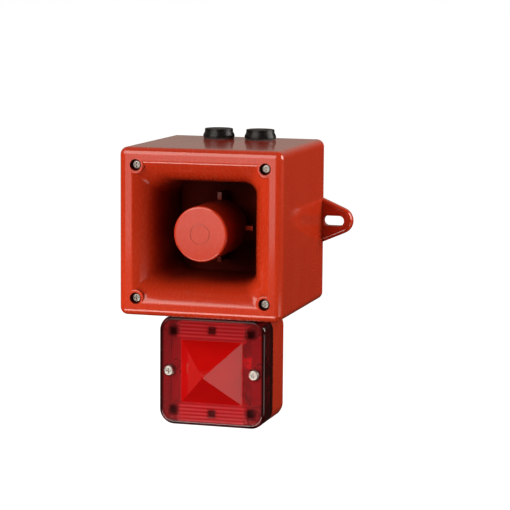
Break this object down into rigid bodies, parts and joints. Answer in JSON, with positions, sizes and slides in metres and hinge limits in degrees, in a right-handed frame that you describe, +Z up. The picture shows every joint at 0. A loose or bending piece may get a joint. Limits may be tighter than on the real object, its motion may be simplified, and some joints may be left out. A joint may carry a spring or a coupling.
{
  "type": "horn strobe",
  "caption": "Wall-mounted square horn sounder with a square strobe beacon and clear red lens hung below it, for fire alarm signalling.",
  "frame": {"origin": "on the wall plane, midway between the centres of the two wall slots, which is also behind the centre of the horn", "axes": "+X right as seen from the front, +Y into the wall, +Z up; the front faces -Y"},
  "size_m": [0.166, 0.118, 0.2116],
  "materials": {
    "red_housing": "gloss",
    "red_lens": "gloss",
    "black_plastic": "satin",
    "bright_reflector": "gloss",
    "seal_rubber": "matte",
    "screw_steel": "satin",
    "insert_brass": "satin",
    "coil_former": "satin",
    "diaphragm_film": "satin",
    "coil_copper": "satin",
    "magnet_steel": "satin",
    "magnet_ferrite": "matte",
    "board_green": "satin",
    "switch_blue": "satin",
    "switch_white": "satin",
    "terminal_green": "satin",
    "capacitor_sleeve": "gloss",
    "coil_tape": "satin",
    "lead_insulation": "satin",
    "flash_glass": "gloss"
  },
  "bodies": {
    "housing": {"back_box": "red_housing", "cover_inserts": "insert_brass", "sounder_board": "board_green", "board_screws": "screw_steel", "dip_switch_body": "switch_blue", "volume_trimmer_body": "switch_blue", "terminal_block": "terminal_green", "terminal_screws": "screw_steel", "sound_chip": "black_plastic", "board_capacitors": "capacitor_sleeve", "output_transformer": "coil_tape", "driver_header": "switch_white", "beacon_base": "red_housing", "link_seal": "seal_rubber", "link_bush": "insert_brass", "link_locknut": "insert_brass", "link_screws": "screw_steel", "link_leads": "lead_insulation", "lens_gasket": "seal_rubber", "lens_inserts": "insert_brass", "lens_carrier": "black_plastic", "reflector": "bright_reflector", "xenon_tube": "flash_glass", "tube_sockets": "switch_white", "strobe_board": "board_green", "strobe_board_screws": "screw_steel", "flash_capacitor": "capacitor_sleeve", "trigger_coil": "coil_tape"},
    "cover": {"front_cover": "red_housing", "cover_gasket": "seal_rubber", "cover_screws": "screw_steel", "reflector_cap": "red_housing", "throat_tube": "black_plastic", "driver_gasket": "seal_rubber", "driver_front": "black_plastic", "driver_frame": "black_plastic", "diaphragm_surround": "coil_former", "top_plate": "magnet_steel", "magnet": "magnet_ferrite", "pole_piece": "magnet_steel", "driver_screws": "screw_steel", "driver_plug": "switch_white", "driver_leads": "lead_insulation"},
    "lens": {"beacon_lens": "red_lens", "lens_screws": "screw_steel"},
    "moving_diaphragm": {"diaphragm": "diaphragm_film", "voice_coil": "coil_copper"},
    "plug_left": {"stopping_plug_left": "black_plastic", "plug_seal_left": "seal_rubber"},
    "plug_right": {"stopping_plug_right": "black_plastic", "plug_seal_right": "seal_rubber"},
    "trimmer": {"volume_trimmer_rotor": "switch_white"},
    "lever_1": {"dip_lever_1": "switch_white"},
    "lever_2": {"dip_lever_2": "switch_white"},
    "lever_3": {"dip_lever_3": "switch_white"},
    "lever_4": {"dip_lever_4": "switch_white"},
    "lever_5": {"dip_lever_5": "switch_white"}
  },
  "joints": [
    {"name": "cover_removal", "type": "slide", "parent": "housing", "child": "cover", "axis": [0, -1, 0], "range_m": [0, 0.11]},
    {"name": "lens_removal", "type": "slide", "parent": "housing", "child": "lens", "axis": [0, -1, 0], "range_m": [0, 0.05]},
    {"name": "diaphragm_travel", "type": "slide", "parent": "cover", "child": "moving_diaphragm", "axis": [0, -1, 0], "range_m": [-0.0003, 0.0003], "stiffness_N_per_m": 4000},
    {"name": "plug_left_removal", "type": "slide", "parent": "housing", "child": "plug_left", "axis": [0, 0, 1], "range_m": [0, 0.025]},
    {"name": "plug_right_removal", "type": "slide", "parent": "housing", "child": "plug_right", "axis": [0, 0, 1], "range_m": [0, 0.025]},
    {"name": "volume_turn", "type": "hinge", "parent": "housing", "child": "trimmer", "pos_m": [0.034, -0.0155, 0.006], "axis": [0, -1, 0], "range_deg": [-135, 135]},
    {"name": "tone_lever_1_travel", "type": "slide", "parent": "housing", "child": "lever_1", "axis": [1, 0, 0], "range_m": [0, 0.0018]},
    {"name": "tone_lever_2_travel", "type": "slide", "parent": "housing", "child": "lever_2", "axis": [1, 0, 0], "range_m": [0, 0.0018]},
    {"name": "tone_lever_3_travel", "type": "slide", "parent": "housing", "child": "lever_3", "axis": [1, 0, 0], "range_m": [0, 0.0018]},
    {"name": "tone_lever_4_travel", "type": "slide", "parent": "housing", "child": "lever_4", "axis": [1, 0, 0], "range_m": [0, 0.0018]},
    {"name": "tone_lever_5_travel", "type": "slide", "parent": "housing", "child": "lever_5", "axis": [1, 0, 0], "range_m": [0, 0.0018]}
  ]
}
